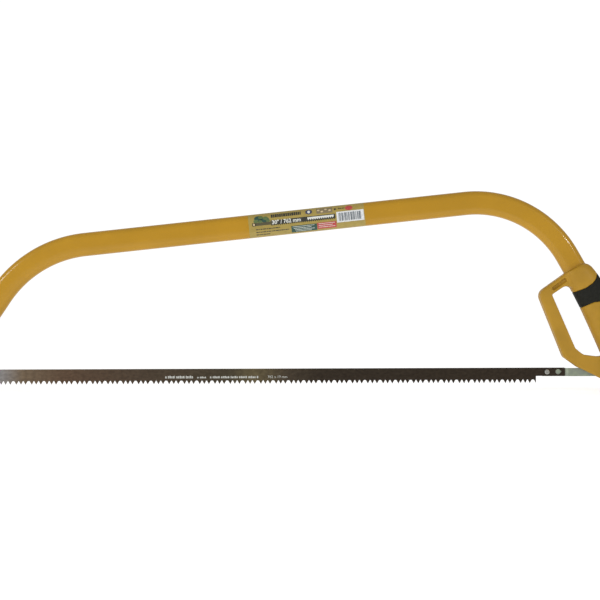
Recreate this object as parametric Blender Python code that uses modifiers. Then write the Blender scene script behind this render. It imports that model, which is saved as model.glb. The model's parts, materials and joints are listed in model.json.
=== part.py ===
"""Bow saw with an oval tube frame, a raker-free peg-tooth blade and a moulded D handle.

The saw stands upright in the XZ plane: +X runs from the toe to the handle, +Z runs up from the teeth
to the frame's back, and Y is the thickness. Plan outlines are (u, w) pairs in millimetres, with u
along the blade and w up, both counted from the toe pin. Everything else is in metres.
"""

import math

import bmesh
import bpy
from mathutils import Matrix, Vector

MM = 0.001
GAP = 0.3  # clearance between neighbouring pieces, in mm

# Where the toe pin stands, so that the origin is under the middle of the saw, on its lowest point.
TOE_PIN = Vector((-0.435525, 0.0, 0.024))

# Blade
PIN_SPACING = 762.0
BLADE_THICK = 0.9
BLADE_DEPTH = 19.05
TANG_HEIGHT = 10.4
BLADE_OVERHANG = 8.6
TEETH_START = 27.7
TOOTH_PITCHES = (7.7, 5.7, 5.6)
TOOTH_HEIGHT = 4.3
PEG_INSET = 13.9

# Frame tube: a flat oval section swept along two straight legs, two bends and the straight back.
TUBE_WIDE = 29.4
TUBE_THICK = 15.0
TUBE_WALL = 1.5
TOE_ANGLE = math.radians(56.0)
BACK_ANGLE = math.radians(5.97)
HEEL_ANGLE = math.radians(60.5)
BACK_HEIGHT = 143.1  # the back's centre line above the toe pin, carried back to the toe pin
TOE_BEND = 145.0
HEEL_BEND = 131.0
TOE_TAIL = 12.0
HEEL_TAIL = 14.5
CLEVIS_LENGTH = 28.0
CLEVIS_GAP = 11.2

# Tension lever
LEVER_PIVOT = (856.5, -1.0)
CRANK = 10.0
LINK_PIVOT = (LEVER_PIVOT[0] + CRANK, LEVER_PIVOT[1])
LEVER_REACH = 87.0
CORE_HALF = 4.8
CORE_SLOT = 1.6
PIVOT_RADIUS = 3.0

# Link strap and its peg
PEG = (PIN_SPACING - PEG_INSET, 0.0)
STRAP_THICK = 2.0
STRAP_HEIGHT = 10.2
STRAP_OFFSET = 1.75
PEG_RADIUS = 3.1
TOE_PIN_RADIUS = 2.5

# Handle
GRIP_HALF = 14.5
GUARD_HALF = 8.5
BAND_DEPTH = 1.8
FOOT = -24.0
SCREW_RADIUS = 1.7
SCREW_HEAD = 3.5

# Label
LABEL_LENGTH = 145.0
LABEL_MIDDLE = 448.5
LABEL_THICK = 0.15


# ---------------------------------------------------------------- scene and materials
for old in list(bpy.data.objects):
    bpy.data.objects.remove(old, do_unlink=True)

SAW = bpy.data.collections.new("bow_saw")
CUTTERS = bpy.data.collections.new("cutters")
bpy.context.scene.collection.children.link(SAW)
bpy.context.scene.collection.children.link(CUTTERS)


def material(name, colour, roughness, metallic=0.0):
    made = bpy.data.materials.new(name)
    made.use_nodes = True
    shader = made.node_tree.nodes["Principled BSDF"]
    shader.inputs["Base Color"].default_value = (*colour, 1.0)
    shader.inputs["Roughness"].default_value = roughness
    shader.inputs["Metallic"].default_value = metallic
    return made


PAINT = material("enamelled_steel_yellow", (0.60, 0.33, 0.03), 0.30)
PLASTIC = material("moulded_plastic_yellow", (0.55, 0.32, 0.05), 0.50)
RUBBER = material("black_rubber", (0.02, 0.02, 0.02), 0.80)
BLADE_STEEL = material("tempered_steel", (0.10, 0.08, 0.07), 0.38, 1.0)
ZINC = material("zinc_plated_steel", (0.45, 0.46, 0.38), 0.35, 1.0)
PIN_STEEL = material("bright_steel", (0.55, 0.55, 0.55), 0.30, 1.0)
NYLON = material("white_nylon", (0.75, 0.75, 0.70), 0.50)
FILM = material("label_film", (0.62, 0.36, 0.05), 0.35)


# ---------------------------------------------------------------- axes that the pieces hang on
def axis_empty(name, place, parent=None):
    """An empty on a joint's axis; place is its (u, w)."""
    empty = bpy.data.objects.new(name, None)
    SAW.objects.link(empty)
    empty["place"] = place
    if parent is None:
        empty.location = TOE_PIN
    else:
        start = parent["place"]
        empty.parent = parent
        empty.location = ((place[0] - start[0]) * MM, 0.0, (place[1] - start[1]) * MM)
    return empty


FRAME_AXIS = axis_empty("frame_axis", (0.0, 0.0))
LEVER_AXIS = axis_empty("lever_axis", LEVER_PIVOT, FRAME_AXIS)
LINK_AXIS = axis_empty("link_axis", LINK_PIVOT, LEVER_AXIS)
BLADE_AXIS = axis_empty("blade_axis", PEG, LINK_AXIS)


def add(name, mesh, look, parent=FRAME_AXIS):
    """A named piece, its mesh counted from its joint's axis."""
    place = parent["place"]
    mesh.transform(Matrix.Translation((-place[0] * MM, 0.0, -place[1] * MM)))
    mesh.shade_smooth()
    mesh.set_sharp_from_angle(angle=math.radians(35))
    piece = bpy.data.objects.new(name, mesh)
    piece.data.materials.append(look)
    SAW.objects.link(piece)
    piece.parent = parent
    return piece


def helper(name, mesh):
    """A solid that only cuts or joins other pieces."""
    guide = bpy.data.objects.new(name, mesh)
    CUTTERS.objects.link(guide)
    guide.parent = FRAME_AXIS
    guide.hide_render = True
    guide.display_type = "WIRE"
    return guide


def combine(piece, guide, operation="DIFFERENCE"):
    step = piece.modifiers.new(guide.name, "BOOLEAN")
    step.operation = operation
    step.solver = "EXACT"
    step.object = guide


def cut_together(piece, guides):
    """One cut with several guides at once, which leaves cleaner edges than one after another."""
    group = bpy.data.collections.new(piece.name + "_cuts")
    CUTTERS.children.link(group)
    for guide in guides:
        group.objects.link(guide)
    step = piece.modifiers.new(group.name, "BOOLEAN")
    step.solver = "EXACT"
    step.operand_type = "COLLECTION"
    step.collection = group


def bevel(piece, width, segments):
    step = piece.modifiers.new("edges", "BEVEL")
    step.width = width * MM
    step.segments = segments
    step.limit_method = "ANGLE"
    step.angle_limit = math.radians(40)
    return step


# ---------------------------------------------------------------- shapes
def evaluated(thing):
    """The mesh that an object's curve or modifiers give, in world space; the object is removed."""
    graph = bpy.context.evaluated_depsgraph_get()
    mesh = bpy.data.meshes.new_from_object(thing.evaluated_get(graph))
    mesh.transform(thing.matrix_world)
    bpy.data.objects.remove(thing, do_unlink=True)
    joined = bmesh.new()
    joined.from_mesh(mesh)
    bmesh.ops.remove_doubles(joined, verts=joined.verts, dist=0.00001)
    bmesh.ops.recalc_face_normals(joined, faces=joined.faces)
    joined.to_mesh(mesh)
    joined.free()
    return mesh


def slab(outlines, low, high):
    """Flat outlines in the saw's plane, the first one solid and the others holes, from y low to high."""
    curve = bpy.data.curves.new("outline", "CURVE")
    curve.dimensions = "2D"
    curve.fill_mode = "BOTH"
    curve.extrude = (high - low) / 2 * MM
    for outline in outlines:
        spline = curve.splines.new("POLY")
        spline.points.add(len(outline) - 1)
        spline.use_cyclic_u = True
        for point, (u, w) in zip(spline.points, outline):
            point.co = (u * MM, w * MM, 0.0, 1.0)
    thing = bpy.data.objects.new("outline", curve)
    CUTTERS.objects.link(thing)
    thing.location = (0.0, (low + high) / 2 * MM, 0.0)
    thing.rotation_euler = (math.pi / 2, 0.0, 0.0)
    bpy.context.view_layer.update()
    return evaluated(thing)


def drum(place, radius, low, high, segments=24):
    """A cylinder across the saw at (u, w), from y low to high."""
    made = bmesh.new()
    bmesh.ops.create_cone(
        made, cap_ends=True, segments=segments, radius1=radius * MM, radius2=radius * MM, depth=(high - low) * MM
    )
    turn = Matrix.Rotation(math.pi / 2, 4, "X")
    centre = Matrix.Translation((place[0] * MM, (low + high) / 2 * MM, place[1] * MM))
    bmesh.ops.transform(made, matrix=centre @ turn, verts=made.verts)
    mesh = bpy.data.meshes.new("drum")
    made.to_mesh(mesh)
    made.free()
    return mesh


def turned(place, profile, segments=24):
    """A lathe shape about the Y axis through (u, w); profile is (radius, y) pairs, a ring if it closes."""
    made = bmesh.new()
    points = [made.verts.new((radius * MM, 0.0, y * MM)) for radius, y in profile]
    for first, second in zip(points, points[1:]):
        made.edges.new((first, second))
    if profile[0][0] > 0.0:
        made.edges.new((points[-1], points[0]))
    mesh = bpy.data.meshes.new("profile")
    made.to_mesh(mesh)
    made.free()
    thing = bpy.data.objects.new("profile", mesh)
    CUTTERS.objects.link(thing)
    step = thing.modifiers.new("turn", "SCREW")
    step.steps = segments
    step.render_steps = segments
    step.use_merge_vertices = True
    step.merge_threshold = 0.00001
    thing.location = (place[0] * MM, 0.0, place[1] * MM)
    thing.rotation_euler = (-math.pi / 2, 0.0, 0.0)
    bpy.context.view_layer.update()
    return evaluated(thing)


def ring(place, inner, outer, low, high, segments=24):
    return turned(place, [(outer, high), (outer, low), (inner, low), (inner, high)], segments)


def arc(centre, radius, start, end, steps):
    """Points on an arc, angles in radians."""
    points = []
    for step in range(steps + 1):
        angle = start + (end - start) * step / steps
        points.append((centre[0] + radius * math.cos(angle), centre[1] + radius * math.sin(angle)))
    return points


def rounded(corners, per_turn=22):
    """An outline from (u, w, radius) corners, each rounded by an arc that touches both its sides."""
    points = []
    for index, (u, w, radius) in enumerate(corners):
        corner = Vector((u, w))
        before = Vector(corners[index - 1][:2]) - corner
        after = Vector(corners[(index + 1) % len(corners)][:2]) - corner
        if radius <= 0.0:
            points.append((u, w))
            continue
        before.normalize()
        after.normalize()
        half = math.acos(max(-1.0, min(1.0, before.dot(after)))) / 2
        middle = corner + (before + after).normalized() * (radius / math.sin(half))
        entry = corner + before * (radius / math.tan(half)) - middle
        leave = corner + after * (radius / math.tan(half)) - middle
        start = math.atan2(entry.y, entry.x)
        sweep = (math.atan2(leave.y, leave.x) - start + math.pi) % (2 * math.pi) - math.pi
        steps = max(1, round(abs(sweep) / (2 * math.pi) * per_turn))
        points += arc(middle, radius, start, start + sweep, steps)
    return points


def grip(along, across):
    """A plan point from its distance up the heel leg's axis from the lever pivot, and out to the palm."""
    u = LEVER_PIVOT[0] - along * math.cos(HEEL_ANGLE) + across * math.sin(HEEL_ANGLE)
    w = LEVER_PIVOT[1] + along * math.sin(HEEL_ANGLE) + across * math.cos(HEEL_ANGLE)
    return (u, w)


def grip_corner(along, across, radius=0.0):
    return (*grip(along, across), radius)


def grip_block(low_along, high_along, low_across, high_across, half):
    corners = [(low_along, low_across), (low_along, high_across), (high_along, high_across), (high_along, low_across)]
    return slab([[grip(*corner) for corner in corners]], -half, half)


def block(low_u, high_u, low_w, high_w, half):
    return slab([[(low_u, low_w), (high_u, low_w), (high_u, high_w), (low_u, high_w)]], -half, half)


# ---------------------------------------------------------------- frame
def oval(half_wide, half_thick, steps=8):
    """The tube's flat oval section, as (across, y) pairs."""
    flat = half_wide - half_thick
    return arc((flat, 0.0), half_thick, -math.pi / 2, math.pi / 2, steps) + arc(
        (-flat, 0.0), half_thick, math.pi / 2, 3 * math.pi / 2, steps
    )


def bend(corner, before, after, radius, steps):
    """The arc that joins two straight stretches; before and after are their headings."""
    turn = before - after
    reach = radius * math.tan(turn / 2)
    start = (corner[0] - reach * math.cos(before), corner[1] - reach * math.sin(before))
    middle = (start[0] + radius * math.sin(before), start[1] - radius * math.cos(before))
    return arc(middle, radius, before + math.pi / 2, after + math.pi / 2, steps)


def tube_path(start_along=-TOE_TAIL, end_along=-HEEL_TAIL, steps=12):
    """The tube's centre line from beyond the toe pin to below the lever pivot."""
    slope = math.tan(BACK_ANGLE)
    toe_u = BACK_HEIGHT / (math.tan(TOE_ANGLE) - slope)
    toe_corner = (toe_u, toe_u * math.tan(TOE_ANGLE))
    reach = (BACK_HEIGHT + slope * LEVER_PIVOT[0] - LEVER_PIVOT[1]) / (
        math.sin(HEEL_ANGLE) + slope * math.cos(HEEL_ANGLE)
    )
    heel_corner = grip(reach, 0.0)
    path = [(start_along * math.cos(TOE_ANGLE), start_along * math.sin(TOE_ANGLE))]
    path += bend(toe_corner, TOE_ANGLE, BACK_ANGLE, TOE_BEND, steps)
    path += bend(heel_corner, BACK_ANGLE, -HEEL_ANGLE, HEEL_BEND, steps)
    path.append(grip(end_along, 0.0))
    return path


def tube_surface(half_wide, half_thick, path):
    """The oval section swept along a path, open at both ends."""
    section = bpy.data.curves.new("section", "CURVE")
    section.dimensions = "2D"
    spline = section.splines.new("POLY")
    points = oval(half_wide, half_thick)
    spline.points.add(len(points) - 1)
    spline.use_cyclic_u = True
    for point, (across, y) in zip(spline.points, points):
        point.co = (across * MM, y * MM, 0.0, 1.0)
    section_thing = bpy.data.objects.new("section", section)
    CUTTERS.objects.link(section_thing)
    curve = bpy.data.curves.new("path", "CURVE")
    curve.dimensions = "2D"
    curve.fill_mode = "NONE"
    curve.bevel_mode = "OBJECT"
    curve.bevel_object = section_thing
    spline = curve.splines.new("POLY")
    spline.points.add(len(path) - 1)
    for point, (u, w) in zip(spline.points, path):
        point.co = (u * MM, w * MM, 0.0, 1.0)
    thing = bpy.data.objects.new("path", curve)
    CUTTERS.objects.link(thing)
    thing.rotation_euler = (math.pi / 2, 0.0, 0.0)
    bpy.context.view_layer.update()
    mesh = evaluated(thing)
    bpy.data.objects.remove(section_thing, do_unlink=True)
    return mesh


def filled_tube(half_wide, half_thick, path):
    """The same sweep with both ends closed, for cutting the tube's seat."""
    mesh = tube_surface(half_wide, half_thick, path)
    made = bmesh.new()
    made.from_mesh(mesh)
    bmesh.ops.holes_fill(made, edges=[edge for edge in made.edges if edge.is_boundary], sides=0)
    bmesh.ops.recalc_face_normals(made, faces=made.faces)
    made.to_mesh(mesh)
    made.free()
    return mesh


def frame_tube():
    """A steel tube, hooked at the toe for the pin, slotted for the blade, and forked at the heel."""
    tube = add("frame_tube", tube_surface(TUBE_WIDE / 2, TUBE_THICK / 2, tube_path()), PAINT)
    wall = tube.modifiers.new("wall", "SOLIDIFY")
    wall.thickness = TUBE_WALL * MM
    wall.offset = -1.0
    reach = 40.0
    hook = TOE_PIN_RADIUS + 0.4
    combine(tube, helper("toe_hook_cut", block(-reach, hook, -reach, hook, reach)))
    combine(tube, helper("blade_slot_cut", block(-reach - 1, reach, -reach - 1, 6.4, 1.5)))
    combine(tube, helper("clevis_cut", grip_block(-reach, CLEVIS_LENGTH, -reach, reach, CLEVIS_GAP / 2)))
    combine(tube, helper("pivot_hole_cut", drum(LEVER_PIVOT, PIVOT_RADIUS + GAP, -12, 12)))
    combine(tube, helper("fixing_hole_cut", drum(grip(*FIXING_PLACE), 2.2, -9, 9)))


def frame_label():
    """A printed film wrapped round the near side of the tube's back."""
    film = 0.12
    half_thick = TUBE_THICK / 2 + film
    flat = (TUBE_WIDE - TUBE_THICK) / 2
    wrap = math.radians(70)
    section = arc((flat, 0.0), half_thick, -math.pi / 2 + wrap, -math.pi / 2, 4)
    section += arc((-flat, 0.0), half_thick, -math.pi / 2, -math.pi / 2 - wrap, 4)
    heading = Vector((math.cos(BACK_ANGLE), 0.0, math.sin(BACK_ANGLE)))
    up = Vector((-math.sin(BACK_ANGLE), 0.0, math.cos(BACK_ANGLE)))
    middle = Vector((LABEL_MIDDLE, 0.0, BACK_HEIGHT + math.tan(BACK_ANGLE) * LABEL_MIDDLE))
    start = middle - heading * (LABEL_LENGTH / 2)
    made = bmesh.new()
    points = [made.verts.new((start + up * across + Vector((0.0, y, 0.0))) * MM) for across, y in section]
    edges = [made.edges.new(pair) for pair in zip(points, points[1:])]
    swept = bmesh.ops.extrude_edge_only(made, edges=edges)
    moved = [item for item in swept["geom"] if isinstance(item, bmesh.types.BMVert)]
    bmesh.ops.translate(made, verts=moved, vec=heading * LABEL_LENGTH * MM)
    bmesh.ops.recalc_face_normals(made, faces=made.faces)
    if sum(face.normal.y for face in made.faces) > 0:
        bmesh.ops.reverse_faces(made, faces=made.faces)
    mesh = bpy.data.meshes.new("film")
    made.to_mesh(mesh)
    made.free()
    label = add("frame_label", mesh, FILM)
    skin = label.modifiers.new("film", "SOLIDIFY")
    skin.thickness = LABEL_THICK * MM
    skin.offset = 1.0


# ---------------------------------------------------------------- blade and its fittings
def teardrop(place, way, length=7.75, height=6.5):
    """A hole round at one end and pointed at the other; way is +1 when it points to +u."""
    radius = height / 2
    tip = place[0] + way * (length - radius)
    opening = math.acos(radius / (length - radius))
    middle = 0.0 if way > 0 else math.pi
    points = arc(place, radius, middle + opening, middle + 2 * math.pi - opening, 12)
    return points + [(tip, place[1])]


def teeth():
    """Peg teeth in threes with a wide gullet between threes, from the heel end back to the toe."""
    group = sum(TOOTH_PITCHES)
    span = PIN_SPACING - 2 * TEETH_START
    groups = round(span / group)
    stretch = span / (groups * group)
    tip = TANG_HEIGHT / 2 - BLADE_DEPTH
    root = tip + TOOTH_HEIGHT
    points = []
    u = PIN_SPACING - TEETH_START
    for _ in range(groups):
        for pitch in TOOTH_PITCHES:
            width = pitch * stretch
            floor = min(width * 0.34, 2.2)
            points.append((u - 0.2, tip))
            points.append((u - (width - floor) / 2, root))
            points.append((u - (width + floor) / 2, root))
            u -= width
    points.append((u + 0.2, tip))
    return points


def blade():
    top = TANG_HEIGHT / 2
    left = -BLADE_OVERHANG
    right = PIN_SPACING + BLADE_OVERHANG
    outline = [(left, -top), (left, top), (right, top), (right, -top)]
    outline += [(PIN_SPACING - TEETH_START, -top)] + teeth() + [(TEETH_START, -top)]
    holes = [
        teardrop((0.0, 0.0), -1),
        teardrop((PIN_SPACING, 0.0), 1),
        arc(PEG, PEG_RADIUS + GAP, 0.0, 2 * math.pi * 23 / 24, 23),
        arc((PEG_INSET, 0.0), PEG_RADIUS + GAP, 0.0, 2 * math.pi * 15 / 16, 15),
    ]
    add("blade", slab([outline] + holes, -BLADE_THICK / 2, BLADE_THICK / 2), BLADE_STEEL, BLADE_AXIS)


def toe_pin():
    """The pin that hangs the blade's toe in the hook, with a clip at each end."""
    half = 9.6
    profile = [(0.0, half), (TOE_PIN_RADIUS - 0.5, half), (TOE_PIN_RADIUS, half - 0.5)]
    profile += [(radius, -y) for radius, y in reversed(profile)]
    add("toe_pin", turned((0.0, 0.0), profile, 20), PIN_STEEL, BLADE_AXIS)
    inner = TOE_PIN_RADIUS + GAP
    outer = TOE_PIN_RADIUS + 2.2
    start = TUBE_THICK / 2 + 0.4
    add("toe_pin_clip_near", ring((0.0, 0.0), inner, outer, -start - 0.9, -start, 20), ZINC, BLADE_AXIS)
    add("toe_pin_clip_far", ring((0.0, 0.0), inner, outer, start, start + 0.9, 20), ZINC, BLADE_AXIS)


def blade_link():
    """A flat strap, set behind the blade at its peg and joggled back to the saw's middle plane."""
    left = PEG[0] - 7.0
    right = LINK_PIVOT[0] + 4.9
    middle = LINK_PIVOT[1] / 2
    half = STRAP_HEIGHT / 2
    start, end = 771.2, 775.2
    low = -STRAP_THICK / 2
    high = STRAP_THICK / 2
    centre_line = [
        (left, STRAP_OFFSET),
        (start, STRAP_OFFSET),
        (end, 0.0),
        (right, 0.0),
    ]
    profile = [(u, y + low) for u, y in centre_line] + [(u, y + high) for u, y in reversed(centre_line)]
    curve_mesh = slab([profile], -half, half)
    curve_mesh.transform(Matrix.Rotation(-math.pi / 2, 4, "X"))
    curve_mesh.transform(Matrix.Translation((0.0, 0.0, middle * MM)))
    link = add("blade_link", curve_mesh, ZINC, LINK_AXIS)
    ends = [
        (left - 1.0, middle - half - 1.0, 4.0),
        (left - 1.0, middle + half + 1.0, 4.0),
        (right, middle + half, half * 0.98),
        (right, middle - half, half * 0.98),
    ]
    combine(link, helper("strap_ends", slab([rounded(ends)], -5, 8)), "INTERSECT")
    combine(link, helper("peg_hole_cut", drum(PEG, PEG_RADIUS + GAP, -1, 6)))
    combine(link, helper("link_hole_cut", drum(LINK_PIVOT, PIVOT_RADIUS + GAP, -6, 6)))


def fittings():
    """The peg in the strap, and the pin that joins the strap to the lever."""
    far = STRAP_OFFSET + STRAP_THICK / 2 + GAP
    peg = [
        (0.0, far + 1.4),
        (PEG_RADIUS + 1.6, far + 1.4),
        (PEG_RADIUS + 1.6, far),
        (PEG_RADIUS, far),
        (PEG_RADIUS, -1.9),
        (PEG_RADIUS - 0.7, -2.6),
        (0.0, -2.6),
    ]
    add("blade_peg", turned(PEG, peg), PIN_STEEL, LINK_AXIS)
    half = 5.6
    pin = [(0.0, half), (PIVOT_RADIUS - 0.5, half), (PIVOT_RADIUS, half - 0.5)]
    pin += [(radius, -y) for radius, y in reversed(pin)]
    add("link_pin", turned(LINK_PIVOT, pin), PIN_STEEL, LEVER_AXIS)


# ---------------------------------------------------------------- tension lever
def lever():
    """A forked steel core on two stub pivots, its arm lying along the palm side under a cover."""
    corners = [
        grip_corner(7.0, -6.5, 5.0),
        grip_corner(-6.5, -6.5, 5.0),
        grip_corner(-11.0, 6.0, 5.0),
        grip_corner(-9.5, 15.5, 4.5),
        grip_corner(2.0, 19.4, 3.0),
        grip_corner(LEVER_REACH, 19.4, 1.0),
        grip_corner(LEVER_REACH, 15.4, 1.0),
        grip_corner(18.0, 15.4, 6.0),
        grip_corner(9.0, 6.0, 4.0),
    ]
    core = add("lever_core", slab([rounded(corners)], -CORE_HALF, CORE_HALF), ZINC, LEVER_AXIS)
    combine(core, helper("fork_cut", grip_block(-30.0, 14.0, -20.0, 14.8, CORE_SLOT)))
    combine(core, helper("core_pivot_cut", drum(LEVER_PIVOT, PIVOT_RADIUS + GAP, -9, 9)))
    combine(core, helper("core_link_cut", drum(LINK_PIVOT, PIVOT_RADIUS + GAP, -9, 9)))
    top = 22.6
    corners = [
        grip_corner(7.0, 19.7, 0.8),
        grip_corner(7.0, top, 1.2),
        grip_corner(LEVER_REACH - 4, top + 0.6, 5.0),
        grip_corner(LEVER_REACH + 1.5, 19.7, 0.8),
    ]
    cover = add("lever_cover", slab([rounded(corners)], -6.0, 6.0), PLASTIC, LEVER_AXIS)
    bevel(cover, 1.2, 2)
    for name, along in (("lever_rivet_lower", 26.0), ("lever_rivet_upper", 70.0)):
        hole = Matrix.Rotation(-math.pi / 2, 4, "Z")
        lean = Matrix.Rotation(HEEL_ANGLE - math.pi / 2, 4, "Y")
        seat = Vector((grip(along, 19.0)[0] * MM, 0.0, grip(along, 19.0)[1] * MM))
        place = Matrix.Translation(seat) @ lean @ hole
        cutter = drum((0.0, 0.0), 2.0 + GAP, -6.0, 6.0, 16)
        cutter.transform(place)
        guide = helper(name + "_cut", cutter)
        combine(core, guide)
        combine(cover, guide)
        rivet = drum((0.0, 0.0), 2.0, -3.2, 3.2, 16)
        rivet.transform(place)
        add(name, rivet, PIN_STEEL, LEVER_AXIS)


def pivots():
    """Two stub studs riveted in the tube's flats, each with a washer beside the lever."""
    flange = TUBE_THICK / 2 + GAP
    profile = [
        (0.0, flange + 1.4),
        (5.0, flange + 1.4),
        (5.0, flange),
        (PIVOT_RADIUS, flange),
        (PIVOT_RADIUS, CORE_SLOT + 0.2),
        (0.0, CORE_SLOT + 0.2),
    ]
    for name, side in (("near", -1), ("far", 1)):
        stud = [(radius, side * y) for radius, y in profile]
        add("pivot_stud_" + name, turned(LEVER_PIVOT, stud if side > 0 else stud[::-1]), PIN_STEEL)
        low, high = sorted((side * (CORE_HALF + 0.3), side * (TUBE_THICK / 2 - TUBE_WALL - 0.3)))
        add("pivot_washer_" + name, ring(LEVER_PIVOT, PIVOT_RADIUS + GAP, 6.5, low, high), NYLON)


# ---------------------------------------------------------------- handle
FIXING_PLACE = (137.0, 0.0)
SCREW_PLACES = [
    grip(142.5, -24.0),
    grip(139.6, -50.2),
    grip(99.0, -55.5),
    (776.5, 20.5),
    (805.0, 12.7),
    grip(36.0, -20.2),
]


def grip_body():
    """The thick part round the tube, from the collar at its mouth to the flat foot at the heel."""
    corners = [
        grip_corner(150.6, -15.2, 1.0),
        grip_corner(131.0, -19.0, 8.0),
        grip_corner(111.0, -18.7, 30.0),
        grip_corner(45.0, -24.4, 60.0),
        (837.0, FOOT, 8.0),
        grip_corner((FOOT - LEVER_PIVOT[1] - 22.3 * math.cos(HEEL_ANGLE)) / math.sin(HEEL_ANGLE), 22.3, 12.0),
        grip_corner(122.0, 22.3, 40.0),
        grip_corner(144.0, 20.3, 6.0),
        grip_corner(150.6, 14.6, 1.0),
    ]
    return slab([rounded(corners)], -GRIP_HALF, GRIP_HALF)


def guard_plate():
    """The D-shaped knuckle guard: strut, bar and lower bar in one flat ring."""
    outer = [
        grip_corner(150.0, 6.0, 0.0),
        grip_corner(150.6, -14.7, 0.0),
        (736.0, 98.6, 11.0),
        (767.6, 18.8, 6.0),
        (785.0, 6.2, 14.0),
        (846.0, FOOT + 0.4, 12.0),
        (866.0, FOOT + 0.4, 0.0),
    ]
    hole = [
        (753.4, 96.4, 1.5),
        (768.0, 106.0, 4.0),
        (773.5, 107.0, 4.0),
        (788.0, 100.5, 3.0),
        (823.0, 21.0, 6.0),
        (812.0, 18.9, 20.0),
        (792.0, 21.5, 12.0),
        (782.2, 29.5, 5.0),
    ]
    return slab([rounded(outer), rounded(hole)], -GUARD_HALF, GUARD_HALF)


def band_outline(inset=0.0):
    """The rubber band's edges, (along, across) pairs up one edge and back down the other."""
    upper = [(125.5, -30), (124.6, -17), (122.8, -2), (123.6, 8.4), (126.3, 15), (131.0, 20.5), (136.0, 30)]
    lower = [(92.5, 30), (94.0, 20), (97.5, 8), (101.8, -2), (102.8, -12), (103.2, -30)]
    points = [grip(along - inset, across) for along, across in upper]
    return points + [grip(along + inset, across) for along, across in lower]


def band_core(clearance):
    """The waist that the rubber band sits on."""
    low, high = -19.4 + BAND_DEPTH - clearance, 22.3 - BAND_DEPTH + clearance
    mesh = grip_block(80.0, 145.0, low, high, GRIP_HALF - BAND_DEPTH + clearance)
    core = helper("band_core", mesh)
    bevel(core, 5.0, 3)
    return core


def handle():
    """Two half shells screwed together round the tube, and the rubber band in their waist."""
    body = helper("grip_body", grip_body())
    bevel(body, 6.5, 3)
    recess = helper("band_recess", slab([band_outline()], -25, 25))
    combine(recess, band_core(0.0))
    seat = helper("tube_seat", filled_tube(TUBE_WIDE / 2 + GAP, TUBE_THICK / 2 + GAP, tube_path(0.0, -HEEL_TAIL - 1)))
    cuts = [
        seat,
        recess,
        helper("lever_channel", grip_block(-60.0, 90.0, 14.9, 45.0, 6.5)),
        helper("lever_root_room", grip_block(-60.0, 30.0, -14.0, 16.0, 6.4)),
        helper("heel_slot", block(838.0, 910.0, -50.0, 6.0, 6.6)),
        helper("link_slot", block(730.0, 845.0, -45.0, 7.2, 3.4)),
        helper("blade_end_slot", block(728.0, 790.0, -44.0, 16.5, 3.3)),
        helper("stud_pocket", drum(LEVER_PIVOT, 5.6, -9.9, 9.9)),
        helper("fixing_bore", screw_hole(grip(*FIXING_PLACE), 6.0, 9.7)),
    ]
    for number, place in enumerate(SCREW_PLACES, start=1):
        cuts.append(helper(f"screw_bore_{number}", screw_hole(place, -6.3, 5.5)))
    for name, side in (("near", -1), ("far", 1)):
        shell = add("handle_shell_" + name, guard_plate(), PLASTIC)
        bevel(shell, 2.0, 2)
        combine(shell, body, "UNION")
        low, high = sorted((-side * 60.0, side * 0.15))
        other_half = helper("split_" + name, slab([[(690, -60), (930, -60), (930, 190), (690, 190)]], low, high))
        cut_together(shell, cuts + [other_half])
    band = add("grip_band", slab([band_outline(GAP)], -24, 24), RUBBER)
    combine(band, body, "INTERSECT")
    combine(band, band_core(GAP))


def screw_hole(place, tip, seat):
    """A counterbored hole for a screw from the far side."""
    wide = SCREW_HEAD + GAP
    narrow = SCREW_RADIUS + GAP
    return turned(place, [(0.0, 22.0), (wide, 22.0), (wide, seat), (narrow, seat), (narrow, tip), (0.0, tip)], 16)


def screws():
    """Pan-head screws put in from the far side."""
    for number, place in enumerate(SCREW_PLACES, start=1):
        add(f"handle_screw_{number}", screw(place, SCREW_RADIUS, -6.0, 5.8), PIN_STEEL)
    add("tube_fixing_screw", screw(grip(*FIXING_PLACE), SCREW_RADIUS, -7.2, 10.0), PIN_STEEL)


def screw(place, radius, tip, seat):
    profile = [
        (0.0, seat + 1.6),
        (SCREW_HEAD - 1.0, seat + 2.1),
        (SCREW_HEAD, seat + 1.2),
        (SCREW_HEAD, seat),
        (radius, seat),
        (radius, tip + 0.6),
        (radius - 0.6, tip),
        (0.0, tip),
    ]
    return turned(place, profile, 16)


frame_tube()
frame_label()
blade()
toe_pin()
blade_link()
fittings()
lever()
pivots()
handle()
screws()
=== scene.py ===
"""Bow saw: finished surfaces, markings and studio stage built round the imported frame."""

import json
import math

import bmesh
import bpy
from mathutils import Matrix, Vector


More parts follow.
